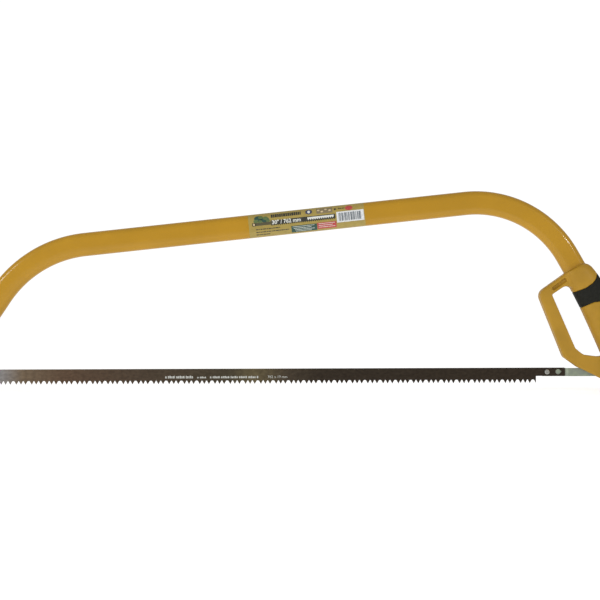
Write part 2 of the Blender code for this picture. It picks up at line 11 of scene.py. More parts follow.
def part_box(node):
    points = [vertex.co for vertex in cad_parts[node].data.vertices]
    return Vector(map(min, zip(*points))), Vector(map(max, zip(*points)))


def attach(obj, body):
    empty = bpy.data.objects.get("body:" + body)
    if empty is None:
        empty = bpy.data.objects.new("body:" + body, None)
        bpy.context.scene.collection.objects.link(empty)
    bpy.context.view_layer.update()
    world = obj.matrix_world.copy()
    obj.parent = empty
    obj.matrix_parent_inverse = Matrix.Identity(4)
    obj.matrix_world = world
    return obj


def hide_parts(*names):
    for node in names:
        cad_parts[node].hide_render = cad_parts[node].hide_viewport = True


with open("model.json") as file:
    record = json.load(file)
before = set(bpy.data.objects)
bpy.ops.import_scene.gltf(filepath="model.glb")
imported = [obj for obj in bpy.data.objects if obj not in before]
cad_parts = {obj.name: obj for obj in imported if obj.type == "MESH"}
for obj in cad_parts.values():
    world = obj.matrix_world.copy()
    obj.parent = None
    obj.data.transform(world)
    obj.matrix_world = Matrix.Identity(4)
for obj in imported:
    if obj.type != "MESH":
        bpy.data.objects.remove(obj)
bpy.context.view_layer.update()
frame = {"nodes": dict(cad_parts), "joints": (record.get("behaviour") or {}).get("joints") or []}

bl_info = {
    "name": "Bow saw builder",
    "version": (1, 0, 0),
    "blender": (4, 5, 0),
    "location": "View3D > Sidebar > Bow saw",
    "description": "Builds the finished pieces of a tube-framed bow saw and its studio stage",
    "category": "Add Mesh",
}

MM = 0.001
JOINTS = {joint["name"]: joint for joint in frame["joints"]}


def middle_of(node):
    low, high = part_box(node)
    return (low + high) / 2


def depth_of(node):
    """A CAD node's nearest and farthest y, mm."""
    low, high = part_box(node)
    return low.y / MM, high.y / MM


# Plan outlines are (u, w) pairs in millimetres: u along the blade from the toe pin, w up from it.
TOE = middle_of("toe_pin")


def plan_of(name):
    """A joint's place as (u, w)."""
    x, _, z = JOINTS[name]["pos_m"]
    return ((x - TOE.x) / MM, (z - TOE.z) / MM)


LEVER_PIVOT = plan_of("lever_pivot")
LINK_PIVOT = plan_of("link_pivot")
PEG = plan_of("blade_swing")
PIN_SPACING = 762.0
PEG_HOLE = 3.4
PIN_BORE = 3.3
TOE_ANGLE = math.radians(56.0)
BACK_ANGLE = math.radians(5.97)
HEEL_ANGLE = math.radians(60.5)
BACK_HEIGHT = 143.1
HALF_TURN = math.pi


def linear(code):
    """An sRGB hex colour as the linear numbers that shaders read."""
    channels = [int(code[start : start + 2], 16) / 255 for start in (1, 3, 5)]
    return tuple(c / 12.92 if c <= 0.04045 else ((c + 0.055) / 1.055) ** 2.4 for c in channels)


# ---------------------------------------------------------------- what a user would change
def length(name, description, default):
    return bpy.props.FloatProperty(name=name, description=description, default=default, min=0.0)


def colour(name, description, code):
    return bpy.props.FloatVectorProperty(
        name=name, description=description, subtype="COLOR", size=3, min=0.0, max=1.0, default=linear(code)
    )


class BowSawSizes(bpy.types.PropertyGroup):
    """Sizes in millimetres that the finished pieces are worked out from."""

    tube_wide: length("Tube width", "Width of the oval tube in the saw's plane, mm", 29.4)
    tube_thick: length("Tube thickness", "Thickness of the oval tube across the saw, mm", 15.0)
    tube_wall: length("Tube wall", "Wall of the oval tube, mm", 1.5)
    toe_bend: length("Toe bend", "Radius of the tube's centre line at the toe bend, mm", 145.0)
    heel_bend: length("Heel bend", "Radius of the tube's centre line at the heel bend, mm", 131.0)
    blade_thick: length("Blade thickness", "Thickness of the blade's steel, mm", 0.9)
    blade_depth: length("Blade depth", "Depth of the blade from its back to the tooth tips, mm", 19.05)
    tang_height: length("Tang height", "Height of the blade's toothless ends, mm", 10.4)
    tooth_height: length("Tooth height", "Height of a tooth above its gullet, mm", 4.3)
    tooth_set: length("Tooth set", "How far a tooth's tip leans to its side, mm", 0.32)
    grip_half: length("Grip half thickness", "Half the thickness of the grip, mm", 14.5)
    guard_half: length("Guard half thickness", "Half the thickness of the knuckle guard, mm", 8.5)


class BowSawColours(bpy.types.PropertyGroup):
    """Colours of the finished surfaces."""

    paint: colour("Enamel", "Baked enamel on the tube", "#b08316")
    plastic: colour("Handle", "Moulded handle", "#a98020")
    rubber: colour("Rubber", "Moulded grip band", "#15150e")
    steel: colour("Blade", "Tempered blade steel", "#3a332c")
    zinc: colour("Zinc", "Passivated zinc plate", "#8b9187")
    bright: colour("Bright steel", "Turned pins and screws", "#a3a39c")
    film: colour("Label film", "Printed film on the tube", "#a08c48")
    floor: colour("Floor", "Studio floor and backdrop", "#f6f6f6")


def sizes():
    return bpy.context.scene.bow_saw_sizes


def colours():
    return bpy.context.scene.bow_saw_colours


# ---------------------------------------------------------------- plan shapes
def arc(centre, radius, start, end, steps):
    points = []
    for step in range(steps + 1):
        angle = start + (end - start) * step / steps
        points.append((centre[0] + radius * math.cos(angle), centre[1] + radius * math.sin(angle)))
    return points


def rounded(corners, per_turn=64):
    """An outline from (u, w, radius) corners, each rounded by an arc that touches both its sides."""
    points = []
    for index, (u, w, radius) in enumerate(corners):
        corner = Vector((u, w))
        before = Vector(corners[index - 1][:2]) - corner
        after = Vector(corners[(index + 1) % len(corners)][:2]) - corner
        if radius <= 0.0:
            points.append((u, w))
            continue
        before.normalize()
        after.normalize()
        half = math.acos(max(-1.0, min(1.0, before.dot(after)))) / 2
        middle = corner + (before + after).normalized() * (radius / math.sin(half))
        entry = corner + before * (radius / math.tan(half)) - middle
        leave = corner + after * (radius / math.tan(half)) - middle
        start = math.atan2(entry.y, entry.x)
        sweep = (math.atan2(leave.y, leave.x) - start + HALF_TURN) % (2 * HALF_TURN) - HALF_TURN
        steps = max(1, round(abs(sweep) / (2 * HALF_TURN) * per_turn))
        points += arc(middle, radius, start, start + sweep, steps)
    return points


def grip(along, across):
    """A plan point from its distance up the heel leg's axis from the lever pivot, and out to the palm."""
    u = LEVER_PIVOT[0] - along * math.cos(HEEL_ANGLE) + across * math.sin(HEEL_ANGLE)
    w = LEVER_PIVOT[1] + along * math.sin(HEEL_ANGLE) + across * math.cos(HEEL_ANGLE)
    return (u, w)


def grip_corner(along, across, radius=0.0):
    return (*grip(along, across), radius)


def at(u, w, y=0.0):
    """A plan point in the frame's metres."""
    return Vector((TOE.x + u * MM, y * MM, TOE.z + w * MM))


# ---------------------------------------------------------------- solids as bmesh
def only(items, kind):
    return [item for item in items if isinstance(item, kind)]


def thicken(made, faces, way):
    """Draws flat faces along a vector into a closed solid."""
    raised = bmesh.ops.extrude_face_region(made, geom=faces, use_keep_orig=True)
    bmesh.ops.translate(made, verts=only(raised["geom"], bmesh.types.BMVert), vec=way)
    bmesh.ops.recalc_face_normals(made, faces=made.faces)
    return made


def plate(outlines, low, high):
    """Plan outlines, the first solid and the others holes, as a plate from y low to high."""
    made = bmesh.new()
    rims = []
    for outline in outlines:
        points = [made.verts.new(at(u, w, low)) for u, w in outline]
        rims += [made.edges.new(pair) for pair in zip(points, points[1:] + points[:1])]
    if len(outlines) == 1:
        faces = [made.faces.new(points)]
    else:
        filled = bmesh.ops.triangle_fill(made, use_beauty=True, use_dissolve=False, edges=rims)
        faces = only(filled["geom"], bmesh.types.BMFace)
    return thicken(made, faces, (0.0, (high - low) * MM, 0.0))


def soften(made, width, segments, wanted=None, sharp=40.0):
    """Rounds the sharp edges of a bmesh, or those that wanted picks."""
    edges = [
        edge
        for edge in made.edges
        if len(edge.link_faces) == 2
        and math.degrees(edge.calc_face_angle(0.0)) > sharp
        and (wanted is None or wanted(edge))
    ]
    bmesh.ops.bevel(
        made,
        geom=edges,
        offset=width * MM,
        segments=segments,
        profile=0.5,
        affect="EDGES",
        clamp_overlap=True,
        material=-1,
    )
    return made


def lathe(place, profile, steps=48):
    """(radius, y) pairs turned about the Y axis through a plan point; a ring where the profile closes."""
    made = bmesh.new()
    centre = at(*place)
    points = [made.verts.new(centre + Vector((radius * MM, y * MM, 0.0))) for radius, y in profile]
    pairs = list(zip(points, points[1:]))
    if profile[0][0] > 0.0:
        pairs.append((points[-1], points[0]))
    edges = [made.edges.new(pair) for pair in pairs]
    bmesh.ops.spin(
        made,
        geom=points + edges,
        cent=centre,
        axis=(0.0, 1.0, 0.0),
        angle=2 * HALF_TURN,
        steps=steps,
        use_merge=True,
        use_duplicate=False,
    )
    bmesh.ops.remove_doubles(made, verts=made.verts, dist=0.000001)
    bmesh.ops.recalc_face_normals(made, faces=made.faces)
    return made


def drum(place, radius, low, high, steps=48):
    return lathe(place, [(0.0, low), (radius, low), (radius, high), (0.0, high)], steps)


def block(low_u, high_u, low_w, high_w, half):
    return plate([[(low_u, low_w), (high_u, low_w), (high_u, high_w), (low_u, high_w)]], -half, half)


def grip_block(low_along, high_along, low_across, high_across, half):
    corners = [
        grip(low_along, low_across),
        grip(low_along, high_across),
        grip(high_along, high_across),
        grip(high_along, low_across),
    ]
    return plate([corners], -half, half)


# ---------------------------------------------------------------- pieces
def loose(name, made):
    """An object for a bmesh, in the scene but not yet a piece."""
    mesh = bpy.data.meshes.new(name)
    made.to_mesh(mesh)
    made.free()
    thing = bpy.data.objects.new(name, mesh)
    bpy.context.scene.collection.objects.link(thing)
    return thing


def settle(thing):
    """Gives an object the mesh that its modifiers make, and takes them off."""
    bpy.context.view_layer.update()
    graph = bpy.context.evaluated_depsgraph_get()
    mesh = bpy.data.meshes.new_from_object(thing.evaluated_get(graph))
    thing.modifiers.clear()
    thing.data = mesh
    return thing


def carve(thing, solids, operation="DIFFERENCE"):
    """Cuts a thing with bmesh solids all at once, or joins or keeps them."""
    group = bpy.data.collections.new("carving")
    tools = [loose("tool", solid) if isinstance(solid, bmesh.types.BMesh) else solid for solid in solids]
    for tool in tools:
        group.objects.link(tool)
    step = thing.modifiers.new("carving", "BOOLEAN")
    step.operation = operation
    step.solver = "EXACT"
    if len(tools) == 1:
        step.object = tools[0]
    else:
        step.operand_type = "COLLECTION"
        step.collection = group
    settle(thing)
    for tool in tools:
        bpy.data.objects.remove(tool, do_unlink=True)
    bpy.data.collections.remove(group)
    return thing


def melt(thing, voxel, passes):
    """Remeshes a moulding on a fine grid and relaxes it, so that every crease gets a small radius."""
    step = thing.modifiers.new("grid", "REMESH")
    step.mode = "VOXEL"
    step.voxel_size = voxel * MM
    relax = thing.modifiers.new("relax", "SMOOTH")
    relax.factor = 0.5
    relax.iterations = passes
    return settle(thing)


def piece(thing, finish, body, nodes=(), crease=35.0):
    """Makes a thing a piece of the saw that rides on a body and stands for its CAD nodes."""
    thing.data.materials.clear()
    thing.data.materials.append(finish)
    thing.data.shade_smooth()
    thing.data.set_sharp_from_angle(angle=math.radians(crease))
    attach(thing, body)
    if nodes:
        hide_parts(*nodes)
    return thing


# ---------------------------------------------------------------- finishes
def add_node(tree, kind, inputs=None, **settings):
    """Adds a node; inputs maps a socket to a value or to another node's output."""
    made = tree.nodes.new(kind)
    for name, value in settings.items():
        setattr(made, name, value)
    for name, value in (inputs or {}).items():
        if isinstance(value, bpy.types.NodeSocket):
            tree.links.new(value, made.inputs[name])
        else:
            made.inputs[name].default_value = value
    return made


def shader_of(name, **values):
    """A material, its node tree, its Principled shader and the object coordinates."""
    if name in bpy.data.materials:
        return bpy.data.materials[name], None, None, None
    finish = bpy.data.materials.new(name)
    finish.use_nodes = True
    tree = finish.node_tree
    shader = tree.nodes["Principled BSDF"]
    for socket, value in values.items():
        shader.inputs[socket.replace("_", " ")].default_value = value
    place = add_node(tree, "ShaderNodeTexCoord").outputs["Object"]
    return finish, tree, shader, place


def cloud(tree, place, size, detail=3.0, stretch=(1.0, 1.0, 1.0)):
    """Noise whose lumps are about size millimetres, and stretch times that along each axis."""
    scale = tuple(1.0 / s for s in stretch)
    placed = add_node(tree, "ShaderNodeMapping", {"Vector": place, "Scale": scale}).outputs["Vector"]
    return add_node(
        tree, "ShaderNodeTexNoise", {"Vector": placed, "Scale": 1.0 / (size * MM), "Detail": detail}
    ).outputs["Fac"]


def spread(tree, value, low, high, start=0.35, end=0.65):
    """Maps a pattern's middle range onto low to high."""
    return add_node(
        tree,
        "ShaderNodeMapRange",
        {"Value": value, "From Min": start, "From Max": end, "To Min": low, "To Max": high},
    ).outputs["Result"]


def blend_colours(tree, amount, first, second, mode="MIX"):
    mix = add_node(tree, "ShaderNodeMix", data_type="RGBA", blend_type=mode)
    for socket, value in ((mix.inputs[0], amount), (mix.inputs[6], first), (mix.inputs[7], second)):
        if isinstance(value, bpy.types.NodeSocket):
            tree.links.new(value, socket)
        elif isinstance(value, (int, float)):
            socket.default_value = value
        else:
            socket.default_value = (*value[:3], 1.0)
    return mix.outputs[2]


def shaded(colour_value, factor):
    return tuple(min(1.0, channel * factor) for channel in colour_value)


def tint(tree, shader, pattern, dark, light):
    """Colours a finish between two tones, as a 0 to 1 pattern says."""
    tree.links.new(blend_colours(tree, pattern, dark, light), shader.inputs["Base Color"])


def roughen(tree, shader, pattern, low, high):
    tree.links.new(spread(tree, pattern, low, high), shader.inputs["Roughness"])


def relief(tree, shader, height, depth, strength=1.0):
    """Bump of a real depth in millimetres."""
    bump = add_node(tree, "ShaderNodeBump", {"Height": height, "Distance": depth * MM, "Strength": strength})
    tree.links.new(bump.outputs["Normal"], shader.inputs["Normal"])


def enamel():
    """Baked enamel on steel tube: even colour, a soft gloss and a faint orange-peel ripple."""
    finish, tree, shader, place = shader_of(
        "baked_enamel", Coat_Weight=0.5, Coat_Roughness=0.07, Coat_IOR=1.5, IOR=1.5, Specular_IOR_Level=0.15
    )
    if tree:
        base = colours().paint
        drift = spread(tree, cloud(tree, place, 55.0), 0.0, 1.0)
        tint(tree, shader, drift, shaded(base, 0.95), shaded(base, 1.04))
        roughen(tree, shader, cloud(tree, place, 9.0), 0.30, 0.38)
        relief(tree, shader, cloud(tree, place, 2.2), 0.02, 0.5)
    return finish


def moulded():
    """Injection-moulded polypropylene: satin, with a fine spark-eroded grain and slight flow clouds."""
    finish, tree, shader, place = shader_of("moulded_polypropylene", IOR=1.49, Specular_IOR_Level=0.3)
    if tree:
        base = colours().plastic
        drift = spread(tree, cloud(tree, place, 22.0, 4.0), 0.0, 1.0)
        tint(tree, shader, drift, shaded(base, 0.93), shaded(base, 1.06))
        roughen(tree, shader, cloud(tree, place, 4.0), 0.42, 0.54)
        relief(tree, shader, cloud(tree, place, 0.7, 2.0), 0.05, 0.5)
    return finish


def rubber():
    """Moulded thermoplastic rubber: nearly black, matt, with a coarse grain."""
    finish, tree, shader, place = shader_of("moulded_rubber", IOR=1.5, Specular_IOR_Level=0.25)
    if tree:
        base = colours().rubber
        speck = spread(tree, cloud(tree, place, 1.6, 4.0), 0.0, 1.0)
        tint(tree, shader, speck, shaded(base, 0.75), shaded(base, 1.35))
        roughen(tree, shader, cloud(tree, place, 3.0), 0.62, 0.78)
        relief(tree, shader, cloud(tree, place, 0.9, 2.0), 0.08, 0.6)
    return finish


def blade_steel():
    """Tempered and ground spring steel: brown-grey with fine lines along the blade, blued at the toe."""
    finish, tree, shader, place = shader_of("tempered_spring_steel", Metallic=1.0)
    if tree:
        base = colours().steel
        along = add_node(tree, "ShaderNodeSeparateXYZ", {"Vector": place}).outputs["X"]
        span = add_node(
            tree,
            "ShaderNodeMapRange",
            {"Value": along, "From Min": at(0.0, 0.0).x, "From Max": at(800.0, 0.0).x},
        ).outputs["Result"]
        ramp = add_node(tree, "ShaderNodeValToRGB", {"Fac": span})
        stops = [
            (0.00, linear("#9a9da4")),
            (0.075, linear("#87878a")),
            (0.115, linear("#6e6050")),
            (0.18, linear("#5c4b3e")),
            (0.30, linear("#4f443a")),
            (0.44, linear("#4c463a")),
            (0.475, linear("#655c46")),
            (0.53, linear("#4a4238")),
            (0.58, base),
            (1.00, shaded(base, 0.92)),
        ]
        while len(ramp.color_ramp.elements) < len(stops):
            ramp.color_ramp.elements.new(0.5)
        for element, (position, value) in zip(ramp.color_ramp.elements, stops):
            element.position = position
            element.color = (*value, 1.0)
        mottle = spread(tree, cloud(tree, place, 3.0, 5.0, (1.6, 1.0, 1.0)), 0.0, 1.0, 0.3, 0.7)
        mottled = blend_colours(tree, mottle, (0.80, 0.78, 0.76), (1.18, 1.16, 1.10))
        tone = blend_colours(tree, 1.0, ramp.outputs["Color"], mottled, "MULTIPLY")
        tree.links.new(tone, shader.inputs["Base Color"])
        lines = cloud(tree, place, 0.5, 2.0, (90.0, 1.0, 1.0))
        roughen(tree, shader, lines, 0.34, 0.50)
        relief(tree, shader, lines, 0.01, 0.4)
    return finish


def zinc():
    """Zinc plate with a clear yellow-green passivation over pressed steel."""
    finish, tree, shader, place = shader_of("passivated_zinc_plate", Metallic=1.0)
    if tree:
        base = colours().zinc
        haze = spread(tree, cloud(tree, place, 6.0, 4.0), 0.0, 1.0)
        greened = tuple(channel * gain for channel, gain in zip(base, (1.10, 1.14, 0.98)))
        tint(tree, shader, haze, shaded(base, 0.92), greened)
        roughen(tree, shader, cloud(tree, place, 1.2), 0.28, 0.42)
        relief(tree, shader, cloud(tree, place, 0.5, 2.0), 0.01, 0.5)
    return finish


def turned_steel():
    """Bright turned steel for pins, rivets and screws."""
    finish, tree, shader, place = shader_of("bright_turned_steel", Metallic=1.0)
    if tree:
        base = colours().bright
        marks = spread(tree, cloud(tree, place, 1.0, 3.0), 0.0, 1.0)
        tint(tree, shader, marks, shaded(base, 0.86), shaded(base, 1.12))
        roughen(tree, shader, cloud(tree, place, 0.6), 0.24, 0.40)
    return finish


def nylon():
    """Natural nylon: off-white, waxy, slightly translucent."""
    finish, tree, shader, place = shader_of("natural_nylon", Subsurface_Weight=0.2, IOR=1.53)
    if tree:
        drift = spread(tree, cloud(tree, place, 2.0), 0.0, 1.0)
        tint(tree, shader, drift, linear("#d6d3c4"), linear("#e6e4d8"))
        roughen(tree, shader, cloud(tree, place, 1.0), 0.40, 0.52)
    return finish


def ink(name, code, rough=0.38):
    """A printed colour: flat ink with the film's faint screen mottle."""
    finish, tree, shader, place = shader_of(name, IOR=1.5)
    if tree:
        base = linear(code)
        screen = spread(tree, cloud(tree, place, 0.8, 3.0), 0.0, 1.0)
        tint(tree, shader, screen, shaded(base, 0.86), shaded(base, 1.12))
        roughen(tree, shader, cloud(tree, place, 3.0), rough - 0.05, rough + 0.05)
    return finish


def film():
    """Clear polyester film over a mustard print, duller and a little greener than the tube."""
    finish, tree, shader, place = shader_of(
        "printed_film", IOR=1.55, Specular_IOR_Level=0.2, Coat_Weight=0.4, Coat_Roughness=0.1
    )
    if tree:
        base = colours().film
        drift = spread(tree, cloud(tree, place, 7.0, 4.0), 0.0, 1.0)
        tint(tree, shader, drift, shaded(base, 0.93), shaded(base, 1.05))
        roughen(tree, shader, cloud(tree, place, 5.0), 0.26, 0.36)
        relief(tree, shader, cloud(tree, place, 5.0), 0.03, 0.4)
    return finish


# ---------------------------------------------------------------- the tube
def oval(half_wide, half_thick, steps=20):
    flat = half_wide - half_thick
    right = arc((flat, 0.0), half_thick, -HALF_TURN / 2, HALF_TURN / 2, steps)
    left = arc((-flat, 0.0), half_thick, HALF_TURN / 2, 3 * HALF_TURN / 2, steps)
    return right + left


def heading(angle):
    return Vector((math.cos(angle), 0.0, math.sin(angle)))


def bends():
    """The two bends' corners, headings and radii, from the toe to the heel."""
    slope = math.tan(BACK_ANGLE)
    toe_u = BACK_HEIGHT / (math.tan(TOE_ANGLE) - slope)
    reach = (BACK_HEIGHT + slope * LEVER_PIVOT[0] - LEVER_PIVOT[1]) / (
        math.sin(HEEL_ANGLE) + slope * math.cos(HEEL_ANGLE)
    )
    return [
        ((toe_u, toe_u * math.tan(TOE_ANGLE)), TOE_ANGLE, BACK_ANGLE, sizes().toe_bend),
        (grip(reach, 0.0), BACK_ANGLE, -HEEL_ANGLE, sizes().heel_bend),
    ]


def swept_oval(half_wide, half_thick, toe_tail, heel_tail, first_bend=0):
    """The oval section drawn along the tube's line, open at both ends."""
    made = bmesh.new()
    path = bends()[first_bend:]
    start = at(*path[0][0]) - heading(path[0][1]) * toe_tail * MM
    side = Vector((math.sin(path[0][1]), 0.0, -math.cos(path[0][1])))
    section = oval(half_wide, half_thick)
    points = []
    for across, y in section:
        points.append(made.verts.new(start + side * across * MM + Vector((0.0, y * MM, 0.0))))
    ends = [made.edges.new(pair) for pair in zip(points, points[1:] + points[:1])]
    here = start
    for corner, before, after, radius in path:
        turn = before - after
        entry = at(*corner) - heading(before) * radius * math.tan(turn / 2) * MM
        ends = lengthen(made, ends, entry - here)
        centre = entry + Vector((math.sin(before), 0.0, -math.cos(before))) * radius * MM
        verts = list({vert for edge in ends for vert in edge.verts})
        spun = bmesh.ops.spin(
            made,
            geom=verts + ends,
            cent=centre,
            axis=(0.0, 1.0, 0.0),
            angle=turn,
            steps=36,
            use_duplicate=False,
        )
        ends = only(spun["geom_last"], bmesh.types.BMEdge)
        here = at(*corner) + heading(after) * radius * math.tan(turn / 2) * MM
    last = at(*grip(-heel_tail, 0.0))
    lengthen(made, ends, last - here)
    bmesh.ops.remove_doubles(made, verts=made.verts, dist=0.000001)
    bmesh.ops.recalc_face_normals(made, faces=made.faces)
    return made


def lengthen(made, edges, reach):
    """Draws a rim of edges straight on by a vector, and gives the new rim."""
    drawn = bmesh.ops.extrude_edge_only(made, edges=edges)
    moved = only(drawn["geom"], bmesh.types.BMVert)
    bmesh.ops.translate(made, verts=moved, vec=reach)
    fresh = set(moved)
    return [edge for edge in made.edges if edge.verts[0] in fresh and edge.verts[1] in fresh]


class BOWSAW_OT_tube(bpy.types.Operator):
    """Draw the oval tube, hook its toe and fork its heel"""

    bl_idname = "bow_saw.tube"
    bl_label = "Frame tube"

    def execute(self, context):
        corner = bends()[0][0]
        toe_tail = math.hypot(*corner) + 12.0
        tube = loose("bow_tube", swept_oval(sizes().tube_wide / 2, sizes().tube_thick / 2, toe_tail, 14.5))
        wall = tube.modifiers.new("wall", "SOLIDIFY")
        wall.thickness = sizes().tube_wall * MM
        wall.offset = -1.0
        settle(tube)
        reach = 40.0
        carve(
            tube,
            [
                block(-reach, 2.9, -reach, 2.9, reach),
                block(-reach - 1.0, reach, -reach - 1.0, 6.4, 1.5),
                grip_block(-reach, 28.0, -reach, reach, 5.6),
                drum(LEVER_PIVOT, PIN_BORE, -12.0, 12.0),
            ],
        )
        piece(tube, enamel(), "frame", ["frame_tube"], 30.0)
        return {"FINISHED"}


# ---------------------------------------------------------------- the blade
TOOTH_PITCHES = (7.7, 5.7, 5.6)
WIDE_PITCH = 7.0
WIDE_FLOOR = 0.34
NARROW_FLOOR = 0.16
TIP_FLAT = 0.10
TEETH_START = 27.7
OVERHANG = 8.6


def tooth_row():
    """Tooth tips from the heel end to the toe, each with the pitch to the next."""
    group = sum(TOOTH_PITCHES)
    room = PIN_SPACING - 2 * TEETH_START
    groups = round(room / group)
    stretch = room / (groups * group)
    tips = []
    u = PIN_SPACING - TEETH_START
    for _ in range(groups):
        for pitch in TOOTH_PITCHES:
            tips.append((u, pitch * stretch))
            u -= pitch * stretch
    return tips, u


def teardrop(place, way, size=7.75, height=6.5):
    radius = height / 2
    opening = math.acos(radius / (size - radius))
    turn = 0.0 if way > 0 else HALF_TURN
    points = arc(place, radius, turn + opening, turn + 2 * HALF_TURN - opening, 30)
    return points + [(place[0] + way * (size - radius), place[1])]


def blade_outline():
    top = sizes().tang_height / 2
    tip = top - sizes().blade_depth
    root = tip + sizes().tooth_height
    left, right = -OVERHANG, PIN_SPACING + OVERHANG
    corners = [(left, -top, 1.2), (left, top, 1.2), (right, top, 1.2), (right, -top, 1.2)]
    corners.append((PIN_SPACING - TEETH_START, -top, 0.0))
    tips, last = tooth_row()
    for u, pitch in tips:
        floor = pitch * (WIDE_FLOOR if pitch > WIDE_PITCH else NARROW_FLOOR)
        bow = min(1.5, floor * 0.6)
        corners.append((u - TIP_FLAT, tip, 0.0))
        corners.append((u - (pitch - floor) / 2, root, bow))
        corners.append((u - (pitch + floor) / 2, root, bow))
        corners.append((u - pitch + TIP_FLAT, tip, 0.0))
    corners.append((last, -top, 0.0))
    return rounded(corners, 28)


def set_teeth(made):
    """Leans the teeth to either side in turn, more towards their tips."""
    tips, _ = tooth_row()
    root = sizes().tang_height / 2 - sizes().blade_depth + sizes().tooth_height
    places = [u for u, _ in tips]
    for vert in made.verts:
        u = (vert.co.x - TOE.x) / MM
        w = (vert.co.z - TOE.z) / MM
        if w < root and places[-1] - 4.0 < u < places[0] + 4.0:
            nearest = min(range(len(places)), key=lambda index: abs(places[index] - u))
            lean = (root - w) / sizes().tooth_height * sizes().tooth_set
            vert.co.y += lean * MM * (1.0 if nearest % 2 else -1.0)


class BOWSAW_OT_blade(bpy.types.Operator):
    """Cut the blade with its groups of three set teeth and its pin holes"""

    bl_idname = "bow_saw.blade"
    bl_label = "Blade"

    def execute(self, context):
        half = sizes().blade_thick / 2
        holes = [teardrop((0.0, 0.0), -1), teardrop((PIN_SPACING, 0.0), 1)]
        for place in (PEG, (PIN_SPACING - PEG[0], 0.0)):
            holes.append(arc(place, PEG_HOLE, 0.0, 2 * HALF_TURN * 47 / 48, 47))
        made = plate([blade_outline()] + holes, -half, half)
        set_teeth(made)
        piece(loose("toothed_blade", made), blade_steel(), "blade", ["blade"], 30.0)
        return {"FINISHED"}


def lettering(text, height, bold=0.0):
    """Plain figures as a flat mesh in the XY plane, starting at the origin."""
    curve = bpy.data.curves.new("figures", "FONT")
    curve.body = text
    curve.size = height
    curve.offset = bold
    curve.resolution_u = 3
    holder = bpy.data.objects.new("figures", curve)
    bpy.context.scene.collection.objects.link(holder)
    bpy.context.view_layer.update()
    mesh = bpy.data.meshes.new_from_object(holder.evaluated_get(bpy.context.evaluated_depsgraph_get()))
    bpy.data.objects.remove(holder, do_unlink=True)
    made = bmesh.new()
    made.from_mesh(mesh)
    return made


OBLONG_PITCH = 40.0


def oblong(made, low_a, high_a, low_b, high_b):
    """Adds a flat rectangle to a bmesh in the XY plane, divided every 1 mm up so that it can wrap."""
    across = max(1, math.ceil((high_a - low_a) / OBLONG_PITCH))
    up = max(1, math.ceil(high_b - low_b))
    grid = bmesh.ops.create_grid(made, x_segments=across, y_segments=up, size=0.5)
    size = Matrix.Diagonal((high_a - low_a, high_b - low_b, 1.0, 1.0))
    shift = Matrix.Translation(((low_a + high_a) / 2, (low_b + high_b) / 2, 0.0))
    bmesh.ops.transform(made, matrix=shift @ size, verts=grid["verts"])


def dashes(made, start, end, low, tall, lengths, gap):
    """A row of printed dashes whose lengths repeat, in place of a line of small type."""
    a = start
    index = 0
    while a < end:
        step = lengths[index % len(lengths)]
        oblong(made, a, min(a + step, end), low, low + tall)
        a += step + gap
        index += 1


def disc(made, a, b, wide, tall, steps=24):
    made_disc = bmesh.ops.create_circle(made, cap_ends=True, cap_tris=True, radius=1.0, segments=steps)
    size = Matrix.Diagonal((wide / 2, tall / 2, 1.0, 1.0))
    bmesh.ops.transform(made, matrix=Matrix.Translation((a, b, 0.0)) @ size, verts=made_disc["verts"])


def polygon(made, points):
    made.faces.new([made.verts.new((a, b, 0.0)) for a, b in points])


def join_flat(made, other, a, b):
    """Adds a flat bmesh to another at (a, b)."""
    bmesh.ops.translate(other, verts=other.verts, vec=(a, b, 0.0))
    mesh = bpy.data.meshes.new("flat")
    other.to_mesh(mesh)
    other.free()
    made.from_mesh(mesh)
    bpy.data.meshes.remove(mesh)


class BOWSAW_OT_etching(bpy.types.Operator):
    """Etch the blade's size and a row of plain marks on its near face"""

    bl_idname = "bow_saw.etching"
    bl_label = "Blade etching"

    def execute(self, context):
        made = bmesh.new()
        low = -6.7
        tall = 3.2
        ticks = [1.7, 1.4, 1.9, 1.2, 1.6, 0.8, 1.8, 1.5]
        groups = ((271.0, 306.0, tall), (311.0, 322.0, tall * 0.7), (327.0, 386.0, tall * 0.85))
        for start, end, height in groups:
            a = start
            index = 0
            while a < end:
                wide = ticks[index % len(ticks)]
                oblong(made, a, a + wide, low, low + height * (0.8 + 0.2 * (index % 3) / 2))
                a += wide + (0.5 if index % 5 else 1.6)
                index += 1
        join_flat(made, lettering("762 x 19 mm", 4.6), 399.0, low)
        face = sizes().blade_thick / 2 + 0.012
        for vert in made.verts:
            vert.co = at(vert.co.x, vert.co.y, -face)
        thing = loose("blade_etching", made)
        solid = thing.modifiers.new("depth", "SOLIDIFY")
        solid.thickness = 0.01 * MM
        solid.offset = 0.0
        settle(thing)
        piece(thing, ink("etched_mark", "#b9bab4", 0.55), "blade")
        return {"FINISHED"}


# ---------------------------------------------------------------- label
def wrap(a, b, lift):
    """A label point on the tube's near side: a along the back, b round the section, in mm."""
    flat = (sizes().tube_wide - sizes().tube_thick) / 2
    radius = sizes().tube_thick / 2
    angle = max(0.0, abs(b) - flat) / radius
    across = math.copysign(min(abs(b), flat) + (radius + lift) * math.sin(angle), b)
    y = -(radius + lift) * math.cos(angle)
    centre = at(LABEL_MIDDLE, BACK_HEIGHT + math.tan(BACK_ANGLE) * LABEL_MIDDLE)
    up = Vector((-math.sin(BACK_ANGLE), 0.0, math.cos(BACK_ANGLE)))
    return centre + heading(BACK_ANGLE) * a * MM + up * across * MM + Vector((0.0, y * MM, 0.0))


LABEL_MIDDLE = 448.5
LABEL_HALF = 72.5
LABEL_WRAP = 16.3


